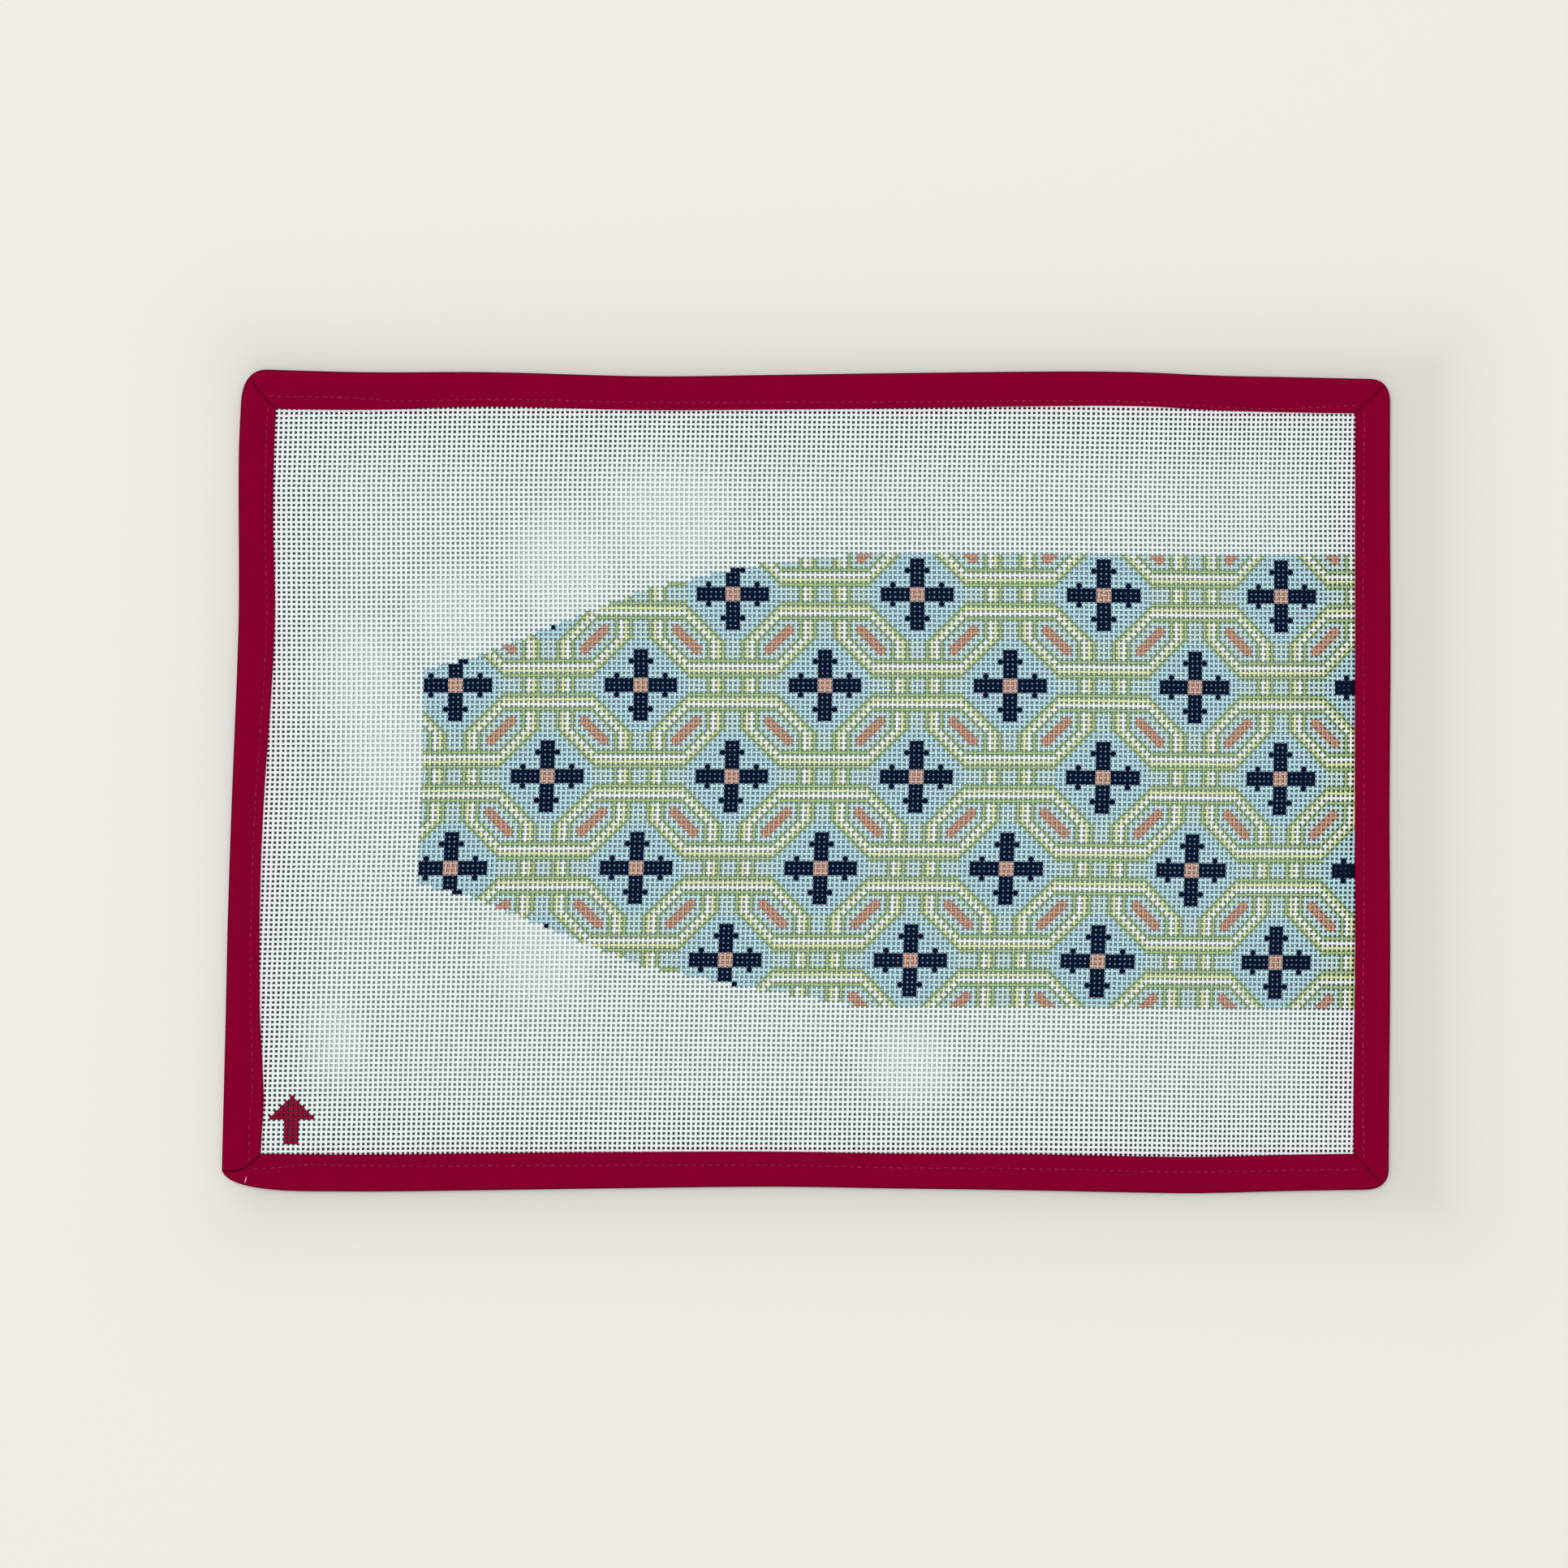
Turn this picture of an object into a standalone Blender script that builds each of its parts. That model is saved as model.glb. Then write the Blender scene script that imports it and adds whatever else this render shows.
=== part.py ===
# Needlepoint canvas panel: a flat sheet of 18-mesh canvas whose four edges are bound in folded cotton tape.
# Each binding strip is a tape folded lengthwise round the canvas edge and mitred at both ends.
# The origin is at the centre of the panel's underside. +X runs along the length, +Y to the upper edge.

from collections import namedtuple
from math import cos, pi, sin

import bmesh
import bpy
from mathutils import Vector

# Overall size of the bound panel, lying flat
PANEL_LENGTH = 0.3421
PANEL_WIDTH = 0.2412

# Cloth and tape thicknesses
CANVAS_THICK = 0.0010
TAPE_THICK = 0.0008
PIECE_GAP = 0.0003
FOLDED_THICK = CANVAS_THICK + 2 * (TAPE_THICK + PIECE_GAP)
FOLD_RADIUS = FOLDED_THICK / 2
FOLD_STEPS = 6
FLAT_SHARES = (1.0, 0.7, 0.35)

# The canvas edge lies this far inside the outside of the tape's fold
CANVAS_TUCK = 0.0025

# Between the binding's edge and the middle, the canvas sinks from the tape's inside to the surface
CANVAS_RISE = TAPE_THICK + PIECE_GAP
SAG_START = 0.0015
SAG_END = 0.0240

# The canvas grid's lines: at these distances in from the bindings, then about this far apart
SINKING_LINES = [0.0, SAG_START, 0.0075, 0.0130, 0.0185, SAG_END]
GRID_STEP = 0.0240

# Sections along each strip: close together round the corners, even between, and fanned out towards the mitres
CORNER_STATIONS = [0.0, 0.0010, 0.0024, 0.0042, 0.0066, 0.0100, 0.0150, 0.0220]
STATION_STEP = 0.0115
MITRE_FAN = 0.0320

# A row of a side's table. along: place on the side's own axis. inset: how far the outer edge lies
# inside the panel's overall rectangle. width: how much of the tape shows.
Row = namedtuple("Row", "along inset width")

UPPER_EDGE = [
    Row(along=-0.1630, inset=0.0000, width=0.0116),
    Row(along=-0.1290, inset=0.0009, width=0.0111),
    Row(along=-0.0930, inset=0.0009, width=0.0102),
    Row(along=-0.0460, inset=0.0021, width=0.0100),
    Row(along=-0.0100, inset=0.0017, width=0.0102),
    Row(along=0.0250, inset=0.0012, width=0.0104),
    Row(along=0.0730, inset=0.0007, width=0.0102),
    Row(along=0.0970, inset=0.0009, width=0.0100),
    Row(along=0.1200, inset=0.0019, width=0.0102),
    Row(along=0.1440, inset=0.0024, width=0.0104),
    Row(along=0.1700, inset=0.0030, width=0.0102),
]
LOWER_EDGE = [
    Row(along=-0.1700, inset=0.0009, width=0.0108),
    Row(along=-0.1290, inset=0.0005, width=0.0109),
    Row(along=-0.0930, inset=0.0009, width=0.0109),
    Row(along=-0.0580, inset=0.0014, width=0.0107),
    Row(along=-0.0100, inset=0.0019, width=0.0104),
    Row(along=0.0250, inset=0.0014, width=0.0103),
    Row(along=0.0610, inset=0.0009, width=0.0107),
    Row(along=0.0970, inset=0.0002, width=0.0107),
    Row(along=0.1140, inset=0.0000, width=0.0107),
    Row(along=0.1440, inset=0.0007, width=0.0107),
    Row(along=0.1700, inset=0.0011, width=0.0107),
]
LEFT_EDGE = [
    Row(along=-0.1160, inset=0.0000, width=0.0111),
    Row(along=-0.1040, inset=0.0003, width=0.0115),
    Row(along=-0.0920, inset=0.0006, width=0.0118),
    Row(along=-0.0680, inset=0.0012, width=0.0101),
    Row(along=-0.0440, inset=0.0017, width=0.0095),
    Row(along=-0.0210, inset=0.0024, width=0.0093),
    Row(along=0.0030, inset=0.0033, width=0.0097),
    Row(along=0.0270, inset=0.0043, width=0.0104),
    Row(along=0.0500, inset=0.0050, width=0.0107),
    Row(along=0.0740, inset=0.0050, width=0.0102),
    Row(along=0.0950, inset=0.0050, width=0.0104),
    Row(along=0.1160, inset=0.0059, width=0.0104),
]
RIGHT_EDGE = [
    Row(along=-0.1180, inset=0.0006, width=0.0103),
    Row(along=-0.0900, inset=0.0004, width=0.0106),
    Row(along=-0.0500, inset=0.0001, width=0.0104),
    Row(along=-0.0100, inset=0.0003, width=0.0103),
    Row(along=0.0400, inset=0.0000, width=0.0105),
    Row(along=0.0850, inset=0.0002, width=0.0103),
    Row(along=0.1180, inset=0.0001, width=0.0104),
]

# A rounded corner. level and upright: how far it reaches along the upper or lower edge, and along the left or
# right one. fullness: 1 is a smooth round, less is flatter. mitre: the share of the way from its level end to its
# upright end where the crease comes out. bow: how far the crease bends to the left, looking inward along it.
Rounding = namedtuple("Rounding", "level upright fullness mitre bow")
UPPER_LEFT_ROUND = Rounding(level=0.0075, upright=0.0110, fullness=1.0, mitre=0.45, bow=-0.0004)
LOWER_LEFT_ROUND = Rounding(level=0.0207, upright=0.0057, fullness=0.8, mitre=1.0, bow=-0.0021)
UPPER_RIGHT_ROUND = Rounding(level=0.0060, upright=0.0070, fullness=1.0, mitre=0.5, bow=0.0)
LOWER_RIGHT_ROUND = Rounding(level=0.0070, upright=0.0060, fullness=1.0, mitre=0.5, bow=0.0)

CANVAS_COLOUR = (0.63, 0.70, 0.69, 1.0)
CANVAS_ROUGHNESS = 0.85
TAPE_COLOUR = (0.234, 0.002, 0.027, 1.0)
TAPE_ROUGHNESS = 0.80

# Faces that meet at more than this stay sharp where a strip is shaded smooth
SHARP_ANGLE = pi / 4

# Rounds of the searches for where two lines cross, and for a place on a corner's curve
SEARCH_ROUNDS = 30


def clear_scene():
    for thing in list(bpy.data.objects):
        bpy.data.objects.remove(thing, do_unlink=True)


def cloth_material(name, colour, roughness):
    material = bpy.data.materials.new(name)
    material.use_nodes = True
    shader = material.node_tree.nodes["Principled BSDF"]
    shader.inputs["Base Color"].default_value = colour
    shader.inputs["Roughness"].default_value = roughness
    shader.inputs["Metallic"].default_value = 0.0
    return material


def eased(share):
    share = min(max(share, 0.0), 1.0)
    return share * share * (3 - 2 * share)


def read_table(table, along, column):
    """A column of a side's table at any place along it, on a smooth curve through its rows."""
    if along <= table[0].along:
        return getattr(table[0], column)
    if along >= table[-1].along:
        return getattr(table[-1], column)
    upper = next(i for i, row in enumerate(table) if row.along >= along)
    rows = [table[max(upper - 2, 0)], table[upper - 1], table[upper], table[min(upper + 1, len(table) - 1)]]
    values = [getattr(row, column) for row in rows]
    span = rows[2].along - rows[1].along
    slope_in = (values[2] - values[0]) / max(rows[2].along - rows[0].along, span)
    slope_out = (values[3] - values[1]) / max(rows[3].along - rows[1].along, span)
    t = (along - rows[1].along) / span
    return (
        (2 * t**3 - 3 * t**2 + 1) * values[1]
        + (t**3 - 2 * t**2 + t) * span * slope_in
        + (3 * t**2 - 2 * t**3) * values[2]
        + (t**3 - t**2) * span * slope_out
    )


class Side:
    """One edge of the panel: its outer line, its tape's inner line, and the mitres at its ends."""

    def __init__(self, table, level, sign):
        self.table = table
        self.level = level  # True where the edge runs along X
        self.axis = 0 if level else 1
        self.sign = sign  # +1 on the upper and right edges
        self.reach = (PANEL_WIDTH if level else PANEL_LENGTH) / 2

    def point(self, along, inward):
        """The place that is inward metres inside the overall rectangle, along metres along the side."""
        across = self.sign * (self.reach - inward)
        return Vector((along, across)) if self.level else Vector((across, along))

    def outer(self, along):
        return self.point(along, read_table(self.table, along, "inset"))

    def inner(self, along):
        inset = read_table(self.table, along, "inset")
        return self.point(along, inset + read_table(self.table, along, "width"))


UPPER = Side(UPPER_EDGE, level=True, sign=1)
LOWER = Side(LOWER_EDGE, level=True, sign=-1)
LEFT = Side(LEFT_EDGE, level=False, sign=-1)
RIGHT = Side(RIGHT_EDGE, level=False, sign=1)


def meeting_point(level_line, upright_line, start):
    """Where an edge's line that runs along X crosses one that runs along Y."""
    spot = Vector(start)
    for _ in range(SEARCH_ROUNDS):
        spot = Vector((upright_line(spot.y).x, level_line(spot.x).y))
    return spot


class Corner:
    """Where two sides meet: the rounded outer corner, and the inner corner of the bindings."""

    def __init__(self, level_side, upright_side, rounding):
        start = (upright_side.sign * PANEL_LENGTH / 2, level_side.sign * PANEL_WIDTH / 2)
        self.tip = meeting_point(level_side.outer, upright_side.outer, start)
        self.inside = meeting_point(level_side.inner, upright_side.inner, start)
        self.level_start = self.tip.x - upright_side.sign * rounding.level
        self.upright_start = self.tip.y - level_side.sign * rounding.upright
        self.ends = (level_side.outer(self.level_start), upright_side.outer(self.upright_start))
        self.control = self.tip.lerp((self.ends[0] + self.ends[1]) / 2, 1 - rounding.fullness)
        self.mitre = rounding.mitre
        self.bow = rounding.bow
        self.outside = self.curve(self.mitre)

    def curve(self, share):
        """A point of the rounded corner, from its start on the level edge to its end on the upright one."""
        first, last = self.ends
        return (1 - share) ** 2 * first + 2 * share * (1 - share) * self.control + share**2 * last


UPPER_LEFT = Corner(UPPER, LEFT, UPPER_LEFT_ROUND)
LOWER_LEFT = Corner(LOWER, LEFT, LOWER_LEFT_ROUND)
UPPER_RIGHT = Corner(UPPER, RIGHT, UPPER_RIGHT_ROUND)
LOWER_RIGHT = Corner(LOWER, RIGHT, LOWER_RIGHT_ROUND)


def outer_on_side(side, corner, along):
    """The outer edge at a place along a side, which follows the rounding near a corner."""
    start = corner.level_start if side.level else corner.upright_start
    way = 1 if corner.tip[side.axis] > start else -1
    if (along - start) * way <= 0:
        return side.outer(along)
    low, high = (0.0 if side.level else 1.0), corner.mitre
    for _ in range(SEARCH_ROUNDS):
        middle = (low + high) / 2
        short_of = (corner.curve(middle)[side.axis] - along) * way < 0
        low, high = (middle, high) if short_of else (low, middle)
    return corner.curve((low + high) / 2)


def station_distances(length):
    """How far along a strip its sections stand: close together at both ends and even between."""
    last = CORNER_STATIONS[-1]
    count = round((length - 2 * last) / STATION_STEP)
    middle = [last + (length - 2 * last) * i / count for i in range(1, count)]
    return CORNER_STATIONS + middle + [length - distance for distance in reversed(CORNER_STATIONS)]


def side_sections(side, first, last):
    """A strip's sections from one mitre to the other, each an outer point, an inner point and a bow."""
    out_from, out_to = first.outside[side.axis], last.outside[side.axis]
    sections = []
    for distance in station_distances(out_to - out_from):
        remaining = out_to - out_from - distance
        near_first = 1 - eased(distance / MITRE_FAN)
        near_last = 1 - eased(remaining / MITRE_FAN)
        along_out = out_from + distance
        along_in = along_out + near_first * (first.inside[side.axis] - out_from)
        along_in += near_last * (last.inside[side.axis] - out_to)
        corner = first if distance < remaining else last
        bow = near_first * first.bow + near_last * last.bow
        sections.append((outer_on_side(side, corner, along_out), side.inner(along_in), bow))
    sections[0] = (first.outside, first.inside, first.bow)
    sections[-1] = (last.outside, last.inside, last.bow)
    return sections


def parted_at_mitres(sections):
    """The same sections, with the first and last moved half a gap back from the mitre line."""
    moved = list(sections)
    for end, neighbour in ((0, 1), (-1, -2)):
        outer, inner, bow = sections[end]
        square = (inner - outer).normalized().orthogonal()
        towards = (sections[neighbour][0] + sections[neighbour][1] - outer - inner).dot(square)
        step = square * (PIECE_GAP / 2 if towards > 0 else -PIECE_GAP / 2)
        moved[end] = (outer + step, inner + step, bow)
    return moved


def fold_profile(radius, width):
    """Half the folded tape's section, as (distance in from the fold, height) from its underside round to its top."""
    middle = FOLD_RADIUS
    flats = [FOLD_RADIUS + (width - FOLD_RADIUS) * share for share in FLAT_SHARES]
    points = [(inward, middle - radius) for inward in flats]
    for i in range(FOLD_STEPS + 1):
        angle = -pi / 2 + pi * i / FOLD_STEPS
        points.append((FOLD_RADIUS - radius * cos(angle), middle + radius * sin(angle)))
    points += [(inward, middle + radius) for inward in reversed(flats)]
    return points


def tape_ring(outer, inner, bow):
    """The closed section of the folded tape that stands on the line from an outer to an inner point."""
    width = (inner - outer).length
    along = (inner - outer).normalized()
    square = along.orthogonal()
    ring = []
    outside = fold_profile(FOLD_RADIUS, width)
    inside = fold_profile(FOLD_RADIUS - TAPE_THICK, width)
    for inward, height in outside + inside[::-1]:
        share = inward / width
        spot = outer + along * inward + square * (4 * bow * share * (1 - share))
        ring.append(Vector((spot.x, spot.y, height)))
    return ring


def loft(rings):
    """A closed mesh through rings of the same length, with its two ends filled strip by strip."""
    mesh = bmesh.new()
    layers = [[mesh.verts.new(point) for point in ring] for ring in rings]
    size = len(rings[0])
    for lower, upper in zip(layers, layers[1:]):
        for i in range(size):
            after = (i + 1) % size
            mesh.faces.new((lower[i], lower[after], upper[after], upper[i]))
    for layer in (layers[0], layers[-1]):
        for i in range(size // 2 - 1):
            mesh.faces.new((layer[i], layer[i + 1], layer[size - 2 - i], layer[size - 1 - i]))
    bmesh.ops.recalc_face_normals(mesh, faces=mesh.faces)
    return mesh


def place(mesh, name, material, collection):
    data = bpy.data.meshes.new(name)
    mesh.to_mesh(data)
    mesh.free()
    data.materials.append(material)
    data.shade_smooth()
    data.set_sharp_from_angle(angle=SHARP_ANGLE)
    thing = bpy.data.objects.new(name, data)
    collection.objects.link(thing)
    return thing


def build_binding(name, side, first, last, material, collection):
    sections = parted_at_mitres(side_sections(side, first, last))
    rings = [tape_ring(outer, inner, bow) for outer, inner, bow in sections]
    return place(loft(rings), name, material, collection)


def grid_shares(length):
    """Shares of a length for the canvas grid's lines: close together where it sinks, even between."""
    shares = [line / length for line in SINKING_LINES]
    count = round((length - 2 * SAG_END) / GRID_STEP)
    middle = [(SAG_END + (length - 2 * SAG_END) * i / count) / length for i in range(1, count)]
    return shares + middle + [1 - share for share in reversed(shares)]


def canvas_height(across, up, length, width):
    """The underside of the canvas at distances across and up from the bindings' inner edges."""
    sunk = 1.0
    for inward in (min(across, length - across), min(up, width - up)):
        sunk *= eased((inward - SAG_START) / (SAG_END - SAG_START))
    return CANVAS_RISE * (1 - sunk)


def canvas_rows():
    """The canvas's underside as rows of points: a grid inside the bindings, and a ring tucked into them."""
    length = UPPER_RIGHT.inside.x - UPPER_LEFT.inside.x
    width = UPPER_LEFT.inside.y - LOWER_LEFT.inside.y
    shares_x = grid_shares(length)
    shares_y = grid_shares(width)

    def along(corner_a, corner_b, share, axis):
        return corner_a.inside[axis] + share * (corner_b.inside[axis] - corner_a.inside[axis])

    def grid_point(share_x, share_y):
        lower = LOWER.inner(along(LOWER_LEFT, LOWER_RIGHT, share_x, 0))
        upper = UPPER.inner(along(UPPER_LEFT, UPPER_RIGHT, share_x, 0))
        left = LEFT.inner(along(LOWER_LEFT, UPPER_LEFT, share_y, 1))
        right = RIGHT.inner(along(LOWER_RIGHT, UPPER_RIGHT, share_y, 1))
        from_corners = (
            (1 - share_x) * (1 - share_y) * LOWER_LEFT.inside
            + share_x * (1 - share_y) * LOWER_RIGHT.inside
            + (1 - share_x) * share_y * UPPER_LEFT.inside
            + share_x * share_y * UPPER_RIGHT.inside
        )
        return (1 - share_y) * lower + share_y * upper + (1 - share_x) * left + share_x * right - from_corners

    rows = []
    for share_y in shares_y:
        row = []
        for share_x in shares_x:
            spot = grid_point(share_x, share_y)
            height = canvas_height(share_x * length, share_y * width, length, width)
            row.append(Vector((spot.x, spot.y, height)))
        rows.append(row)
    return with_tucked_ring(rows)


def tucked(inner_point, side, corner):
    """The canvas edge beside a point of the binding's inner line, inside the fold."""
    outer = outer_on_side(side, corner, inner_point[side.axis])
    away = outer - inner_point.xy
    edge = outer - away.normalized() * CANVAS_TUCK
    return Vector((edge.x, edge.y, CANVAS_RISE))


def tucked_corner(corner):
    away = corner.outside - corner.inside
    edge = corner.outside - away.normalized() * CANVAS_TUCK
    return Vector((edge.x, edge.y, CANVAS_RISE))


def with_tucked_ring(rows):
    half = len(rows[0]) // 2
    below = [tucked(p, LOWER, LOWER_LEFT if i < half else LOWER_RIGHT) for i, p in enumerate(rows[0])]
    above = [tucked(p, UPPER, UPPER_LEFT if i < half else UPPER_RIGHT) for i, p in enumerate(rows[-1])]
    middle = len(rows) // 2
    ringed = []
    for i, row in enumerate(rows):
        left_corner = LOWER_LEFT if i < middle else UPPER_LEFT
        right_corner = LOWER_RIGHT if i < middle else UPPER_RIGHT
        ringed.append([tucked(row[0], LEFT, left_corner), *row, tucked(row[-1], RIGHT, right_corner)])
    below = [tucked_corner(LOWER_LEFT), *below, tucked_corner(LOWER_RIGHT)]
    above = [tucked_corner(UPPER_LEFT), *above, tucked_corner(UPPER_RIGHT)]
    return [below, *ringed, above]


def build_canvas(material, collection):
    rows = canvas_rows()
    columns = len(rows[0])
    bpy.ops.mesh.primitive_grid_add(x_subdivisions=columns - 1, y_subdivisions=len(rows) - 1, size=1)
    canvas = bpy.context.object
    canvas.name = canvas.data.name = "canvas"
    for vertex, point in zip(canvas.data.vertices, [p for row in rows for p in row]):
        vertex.co = point
    canvas.data.materials.append(material)
    canvas.data.shade_smooth()
    cloth = canvas.modifiers.new("cloth thickness", "SOLIDIFY")
    cloth.thickness = CANVAS_THICK
    cloth.offset = 1.0
    for home in list(canvas.users_collection):
        home.objects.unlink(canvas)
    collection.objects.link(canvas)
    return canvas


def main():
    clear_scene()
    collection = bpy.data.collections.new("needlepoint canvas panel")
    bpy.context.scene.collection.children.link(collection)
    canvas_cloth = cloth_material("mono canvas", CANVAS_COLOUR, CANVAS_ROUGHNESS)
    tape_cloth = cloth_material("binding tape", TAPE_COLOUR, TAPE_ROUGHNESS)
    build_canvas(canvas_cloth, collection)
    strips = [
        ("binding_upper", UPPER, UPPER_LEFT, UPPER_RIGHT),
        ("binding_lower", LOWER, LOWER_LEFT, LOWER_RIGHT),
        ("binding_left", LEFT, LOWER_LEFT, UPPER_LEFT),
        ("binding_right", RIGHT, LOWER_RIGHT, UPPER_RIGHT),
    ]
    for name, side, first, last in strips:
        build_binding(name, side, first, last, tape_cloth, collection)


main()
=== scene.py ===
# Looks of a needlepoint canvas panel: woven and painted canvas, its bound edges, and the stitches that
# hold them

from math import pi

import bmesh
import bpy
import numpy as np
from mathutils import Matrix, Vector


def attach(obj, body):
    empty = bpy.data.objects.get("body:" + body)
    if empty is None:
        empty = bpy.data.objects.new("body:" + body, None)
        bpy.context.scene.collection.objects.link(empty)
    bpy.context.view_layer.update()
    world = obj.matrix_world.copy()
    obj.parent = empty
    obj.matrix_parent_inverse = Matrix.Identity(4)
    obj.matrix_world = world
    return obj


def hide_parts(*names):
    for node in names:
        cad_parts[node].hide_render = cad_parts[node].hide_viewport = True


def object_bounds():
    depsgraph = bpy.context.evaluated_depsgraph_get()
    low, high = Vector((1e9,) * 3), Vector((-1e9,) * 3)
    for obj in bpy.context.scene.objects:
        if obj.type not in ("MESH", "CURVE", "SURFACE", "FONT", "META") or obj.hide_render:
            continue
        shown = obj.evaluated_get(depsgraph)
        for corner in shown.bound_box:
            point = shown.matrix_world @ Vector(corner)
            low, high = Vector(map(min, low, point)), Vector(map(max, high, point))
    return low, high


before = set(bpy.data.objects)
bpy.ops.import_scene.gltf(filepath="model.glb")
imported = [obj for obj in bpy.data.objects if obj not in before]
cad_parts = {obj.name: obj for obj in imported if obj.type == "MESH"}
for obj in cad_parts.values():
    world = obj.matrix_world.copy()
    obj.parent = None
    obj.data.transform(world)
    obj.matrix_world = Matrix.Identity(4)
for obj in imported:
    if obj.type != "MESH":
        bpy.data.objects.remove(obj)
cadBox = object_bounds()
mm = 0.001
tiny = 0.01 * mm  # shorter than anything that is built
print("frame loaded")


# Small helpers

def pick(*things):
    bpy.ops.object.select_all(action="DESELECT")
    for thing in things:
        thing.select_set(True)
    bpy.context.view_layer.objects.active = things[0]


def applyModifiers(piece):
    pick(piece)
    for modifier in list(piece.modifiers):
        bpy.ops.object.modifier_apply(modifier=modifier.name)


def readPoints(piece):
    points = np.zeros(len(piece.data.vertices) * 3, np.float32)
    piece.data.vertices.foreach_get("co", points)
    return points.reshape(-1, 3).astype(float)


def writePoints(piece, points):
    piece.data.vertices.foreach_set("co", points.astype(np.float32).ravel())
    piece.data.update()


# A UV map from one place for each point of the mesh
def addUvMap(piece, name, places):
    corners = np.zeros(len(piece.data.loops), np.int32)
    piece.data.loops.foreach_get("vertex_index", corners)
    layer = piece.data.uv_layers.new(name=name)
    layer.data.foreach_set("uv", places[corners].astype(np.float32).ravel())


# A map of the piece as seen from above
def addTopMap(piece):
    flat = readPoints(piece)[:, :2]
    low = flat.min(0)
    addUvMap(piece, "OFBake", (flat - low) / (flat.max(0) - low).max())


# A share that starts and ends gently
def eased(share):
    share = np.clip(share, 0.0, 1.0)
    return share * share * (3 - 2 * share)


# A smooth curve through the rows of a table
def smoothRead(places, values, at):
    places, values = np.asarray(places, float), np.asarray(values, float)
    slopes = np.gradient(values) / np.gradient(places)
    at = np.clip(at, places[0], places[-1])
    row = np.clip(np.searchsorted(places, at, side="right") - 1, 0, len(places) - 2)
    span = places[row + 1] - places[row]
    t = (at - places[row]) / span
    return (
        (2 * t**3 - 3 * t**2 + 1) * values[row]
        + (t**3 - 2 * t**2 + t) * span * slopes[row]
        + (3 * t**2 - 2 * t**3) * values[row + 1]
        + (t**3 - t**2) * span * slopes[row + 1]
    )


# A mesh piece from points and faces, already in its place
def makePiece(name, points, faces, material):
    data = bpy.data.meshes.new(name)
    data.from_pydata([tuple(point) for point in points], [], [tuple(face) for face in faces])
    data.materials.append(material)
    data.shade_smooth()
    piece = bpy.data.objects.new(name, data)
    bpy.context.scene.collection.objects.link(piece)
    return piece


def finishPiece(piece, slotName, *replaced):
    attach(piece, "root")
    if replaced:
        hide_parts(*replaced)


# Camera, straight above the panel as in the photo, and plain screen colours

view = {
    "framePixels": 1932,
    "pixelSize": 0.2375 * mm,
    "originPixel": (993.25, 962.5),
    "lens": 85.0,
    "sensor": 36.0,
    "exactHeight": 1.6 * mm,  # above the floor, where the scale is exact
    "clip": (0.01, 50),
}


def makeCamera():
    size = view["pixelSize"]
    half = view["framePixels"] / 2
    away = view["framePixels"] * size * view["lens"] / view["sensor"]
    originX, originY = view["originPixel"]
    place = ((half - originX) * size, (originY - half) * size, away + view["exactHeight"])
    bpy.ops.object.camera_add(location=place, rotation=(0, 0, 0))
    camera = bpy.context.object
    camera.data.lens = view["lens"]
    camera.data.sensor_width = view["sensor"]
    camera.data.clip_start, camera.data.clip_end = view["clip"]
    bpy.context.scene.camera = camera
    bpy.context.scene.view_settings.view_transform = "Standard"


makeCamera()
print("camera placed")


# Colours are written as they look on screen, from 0 to 255

def paint(red, green, blue):
    shares = [level / 255 for level in (red, green, blue)]
    return (*[s / 12.92 if s <= 0.04045 else ((s + 0.055) / 1.055) ** 2.4 for s in shares], 1.0)


# Shader maths: a number that runs between nodes, so that materials read as plain expressions
class Wire:
    def __init__(self, tree, socket):
        self.tree = tree
        self.socket = socket

    def maths(self, operation, *inputs):
        settings = {"operation": operation}
        return self.tree.node("ShaderNodeMath", settings, dict(enumerate(inputs)))[0]

    def __add__(self, other):
        return self.maths("ADD", self, other)

    def __sub__(self, other):
        return self.maths("SUBTRACT", self, other)

    def __rsub__(self, other):
        return self.maths("SUBTRACT", other, self)

    def __mul__(self, other):
        return self.maths("MULTIPLY", self, other)

    def __truediv__(self, other):
        return self.maths("DIVIDE", self, other)

    def __mod__(self, other):
        return self.maths("FLOORED_MODULO", self, other)

    def __pow__(self, other):
        return self.maths("POWER", self, other)

    def __lt__(self, other):
        return self.maths("LESS_THAN", self, other)

    def __gt__(self, other):
        return self.maths("GREATER_THAN", self, other)

    def __abs__(self):
        return self.maths("ABSOLUTE", self)

    __radd__ = __add__
    __rmul__ = __mul__


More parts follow.
